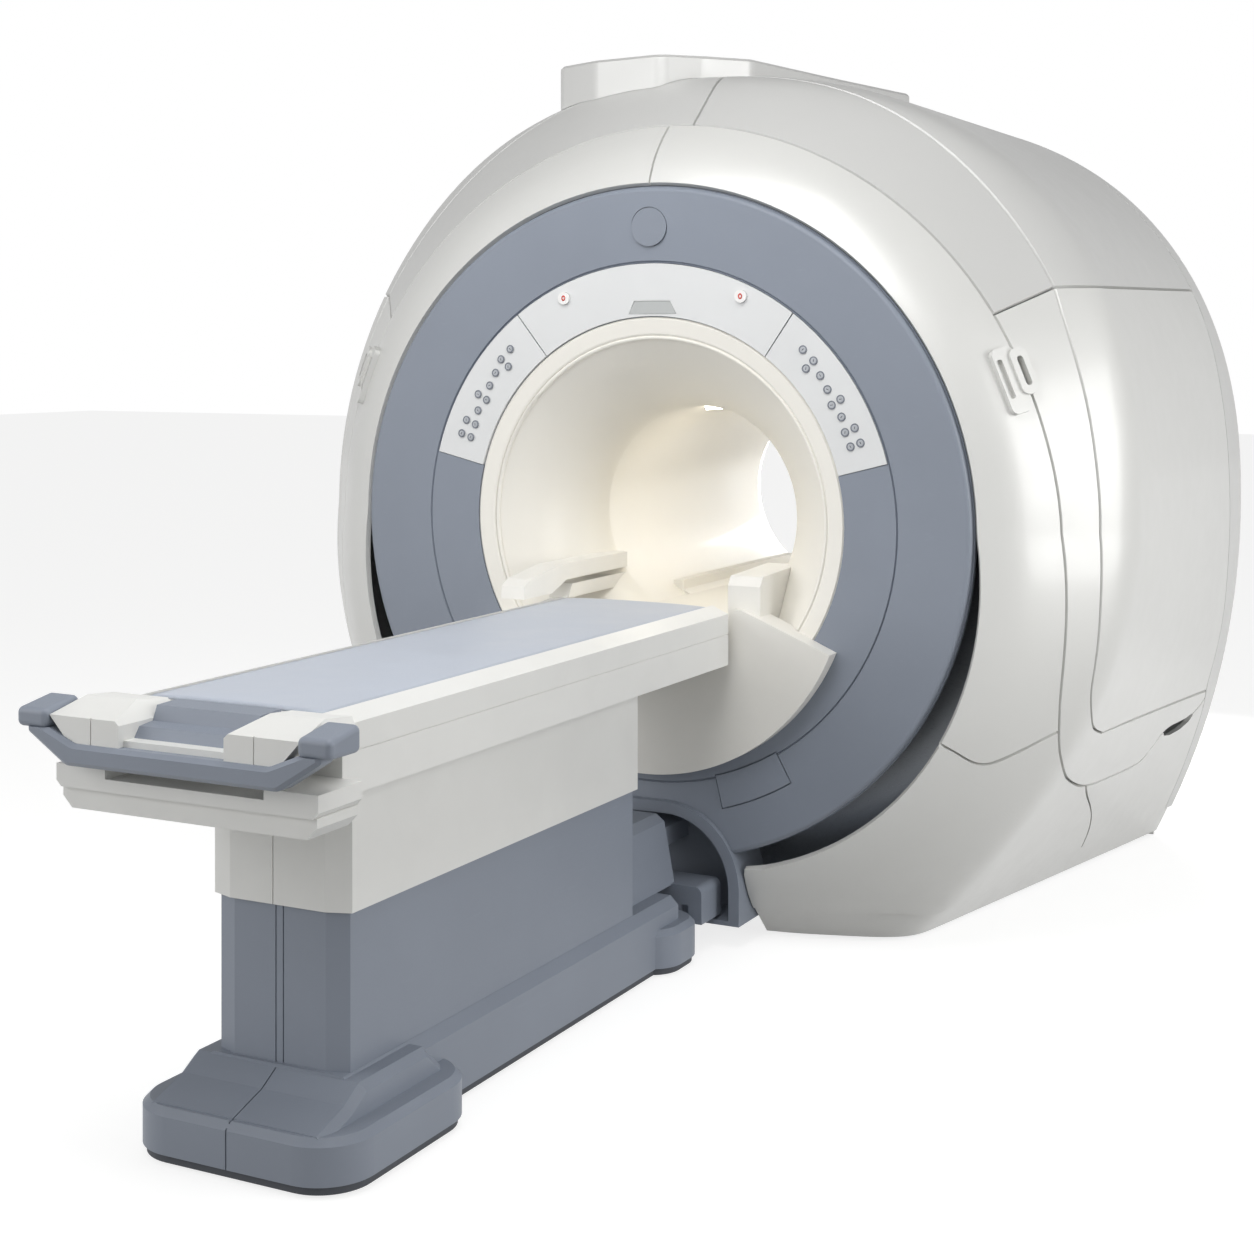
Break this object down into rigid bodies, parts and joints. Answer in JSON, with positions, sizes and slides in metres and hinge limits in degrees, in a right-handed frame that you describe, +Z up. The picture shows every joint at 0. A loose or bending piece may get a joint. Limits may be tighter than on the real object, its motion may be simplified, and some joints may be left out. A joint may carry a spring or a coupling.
{
  "type": "mri scanner",
  "caption": "Medical imaging gantry with a flared round patient bore, ring controls and a dockable rolling patient table whose cradle slides into the bore.",
  "frame": {"origin": "on the floor, straight below the middle of the patient bore", "axes": "+Z up, +Y along the bore from the table end to the back, +X to the right of someone facing the front"},
  "size_m": [2.4668, 3.713, 2.406],
  "materials": {
    "cover_white": "pearl white, satin",
    "funnel_cream": "cream white, satin",
    "ring_grey": "blue-grey, satin",
    "panel_light": "light grey, matt",
    "key_grey": "grey membrane",
    "display": "dark grey window",
    "stop_button": "pale button with a red mark",
    "lamp": "bright diffuser",
    "magnet_steel": "stainless steel",
    "coil_epoxy": "cast resin",
    "table_white": "pearl white, satin",
    "table_grey": "blue-grey, satin",
    "grip_grey": "blue-grey, matt",
    "mattress": "light blue-grey vinyl",
    "frame_steel": "black",
    "skirt_dark": "black",
    "wheel": "grey tread"
  },
  "bodies": {
    "gantry": {"bezel_right": "cover_white", "bezel_left": "cover_white", "lower_front_cover_right": "cover_white", "lower_front_cover_left": "cover_white", "upper_band_right": "cover_white", "upper_band_left": "cover_white", "top_shell": "cover_white", "side_panel_right": "cover_white", "side_panel_left": "cover_white", "side_frame_right": "cover_white", "side_frame_left": "cover_white", "lower_side_cover_right": "cover_white", "lower_side_cover_left": "cover_white", "rear_cover": "cover_white", "rear_plate": "cover_white", "plinth": "cover_white", "magnet_vessel": "magnet_steel", "gradient_coil": "coil_epoxy", "magnet_feet": "magnet_steel", "bore_liner": "funnel_cream", "front_funnel": "funnel_cream", "rear_funnel": "funnel_cream", "inner_front_ring": "funnel_cream", "display_window": "display", "centre_panel": "panel_light", "key_panel_right": "panel_light", "key_panel_left": "panel_light", "membrane_keys": "key_grey", "ring_boss": "ring_grey", "service_hatch": "ring_grey", "ring_fascia": "ring_grey", "dock_housing": "ring_grey", "bridge_apron": "cover_white", "patient_bridge": "funnel_cream", "left_guard": "funnel_cream", "right_guard": "funnel_cream", "bore_lamp": "lamp", "turret_cover": "cover_white", "hand_grips": "cover_white"},
    "table": {"table_base": "table_grey", "base_skirt": "skirt_dark", "chassis": "frame_steel", "lower_column": "table_grey", "docking_head": "table_grey"},
    "lift": {"upper_column": "table_white", "table_frame": "table_white", "table_tray": "table_white", "end_blocks": "table_white", "pull_bar": "grip_grey", "foot_step": "grip_grey"},
    "cradle": {"cradle": "table_white", "mattress": "mattress"},
    "stop_button_left": {"stop_button_left": "stop_button"},
    "caster_left": {"caster_fork_left": "frame_steel"},
    "caster_wheel_left": {"caster_wheel_left": "wheel"},
    "dock_wheel_left": {"dock_wheel_left": "wheel"},
    "stop_button_right": {"stop_button_right": "stop_button"},
    "caster_right": {"caster_fork_right": "frame_steel"},
    "caster_wheel_right": {"caster_wheel_right": "wheel"},
    "dock_wheel_right": {"dock_wheel_right": "wheel"}
  },
  "joints": [
    {"name": "dock_roll", "type": "slide", "parent": "gantry", "child": "table", "axis": [0, -1, 0], "range_m": [0, 1.2]},
    {"name": "table_lift", "type": "slide", "parent": "table", "child": "lift", "axis": [0, 0, 1], "range_m": [-0.28, 0]},
    {"name": "cradle_travel", "type": "slide", "parent": "lift", "child": "cradle", "axis": [0, 1, 0], "range_m": [0, 1.5]},
    {"name": "stop_left_press", "type": "slide", "parent": "gantry", "child": "stop_button_left", "axis": [0, 1, 0], "range_m": [0, 0.004], "stiffness_N_per_m": 1500},
    {"name": "caster_left_swivel", "type": "hinge", "parent": "table", "child": "caster_left", "pos_m": [-0.15, -2.4, 0.08], "axis": [0, 0, 1], "continuous": true},
    {"name": "caster_left_spin", "type": "hinge", "parent": "caster_left", "child": "caster_wheel_left", "pos_m": [-0.15, -2.422, 0.03], "axis": [1, 0, 0], "continuous": true},
    {"name": "dock_wheel_left_spin", "type": "hinge", "parent": "table", "child": "dock_wheel_left", "pos_m": [-0.15, -1.1, 0.03], "axis": [1, 0, 0], "continuous": true},
    {"name": "stop_right_press", "type": "slide", "parent": "gantry", "child": "stop_button_right", "axis": [0, 1, 0], "range_m": [0, 0.004], "stiffness_N_per_m": 1500},
    {"name": "caster_right_swivel", "type": "hinge", "parent": "table", "child": "caster_right", "pos_m": [0.15, -2.4, 0.08], "axis": [0, 0, 1], "continuous": true},
    {"name": "caster_right_spin", "type": "hinge", "parent": "caster_right", "child": "caster_wheel_right", "pos_m": [0.15, -2.422, 0.03], "axis": [1, 0, 0], "continuous": true},
    {"name": "dock_wheel_right_spin", "type": "hinge", "parent": "table", "child": "dock_wheel_right", "pos_m": [0.15, -1.1, 0.03], "axis": [1, 0, 0], "continuous": true}
  ]
}
